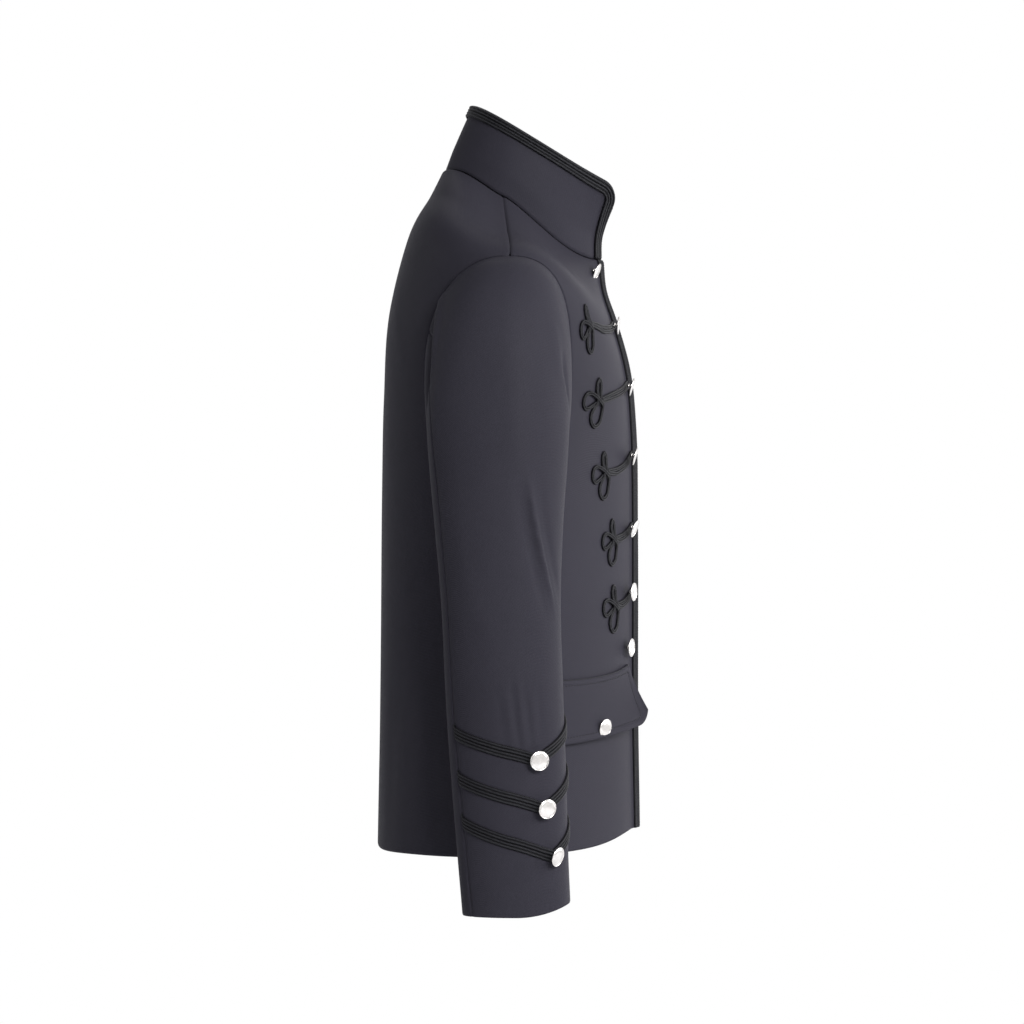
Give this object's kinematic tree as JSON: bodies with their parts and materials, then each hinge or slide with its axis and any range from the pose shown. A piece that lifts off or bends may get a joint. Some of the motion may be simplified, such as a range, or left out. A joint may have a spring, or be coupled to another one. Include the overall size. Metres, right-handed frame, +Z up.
{
  "type": "military jacket",
  "caption": "Military-style jacket with stand collar, braided front edges with knotted cords, shank buttons, pointed cuff braids and buttoned pocket flaps.",
  "frame": {"origin": "centre of the neck, level with the top of the shoulder seams, where the jacket is held when worn", "axes": "+Z up, -Y out of the front, +X towards the wearer's left"},
  "size_m": [0.598, 0.2756, 0.8],
  "materials": {
    "cloth": "satin weave",
    "braid": "corded",
    "silver": "polished"
  },
  "bodies": {
    "root": {"back": "cloth", "front_right": "cloth", "front_left": "cloth", "sleeve_upper_right": "cloth", "sleeve_upper_left": "cloth", "sleeve_under_right": "cloth", "sleeve_under_left": "cloth", "collar": "cloth", "braid_front_right": "braid", "braid_front_left": "braid", "braid_collar": "braid", "braid_cuff_1_right": "braid", "braid_cuff_1_left": "braid", "button_cuff_1_right": "silver", "button_cuff_1_left": "silver", "braid_cuff_2_right": "braid", "braid_cuff_2_left": "braid", "button_cuff_2_right": "silver", "button_cuff_2_left": "silver", "braid_cuff_3_right": "braid", "braid_cuff_3_left": "braid", "button_cuff_3_right": "silver", "button_cuff_3_left": "silver", "button_front_1_right": "silver", "button_front_1_left": "silver", "frog_2_right": "braid", "frog_2_left": "braid", "button_front_2_right": "silver", "button_front_2_left": "silver", "frog_3_right": "braid", "frog_3_left": "braid", "button_front_3_right": "silver", "button_front_3_left": "silver", "frog_4_right": "braid", "frog_4_left": "braid", "button_front_4_right": "silver", "button_front_4_left": "silver", "frog_5_right": "braid", "frog_5_left": "braid", "button_front_5_right": "silver", "button_front_5_left": "silver", "frog_6_right": "braid", "frog_6_left": "braid", "button_front_6_right": "silver", "button_front_6_left": "silver", "button_front_7_right": "silver", "button_front_7_left": "silver", "pocket_flap_right": "cloth", "pocket_flap_left": "cloth", "button_flap_right": "silver", "button_flap_left": "silver"}
  },
  "joints": []
}
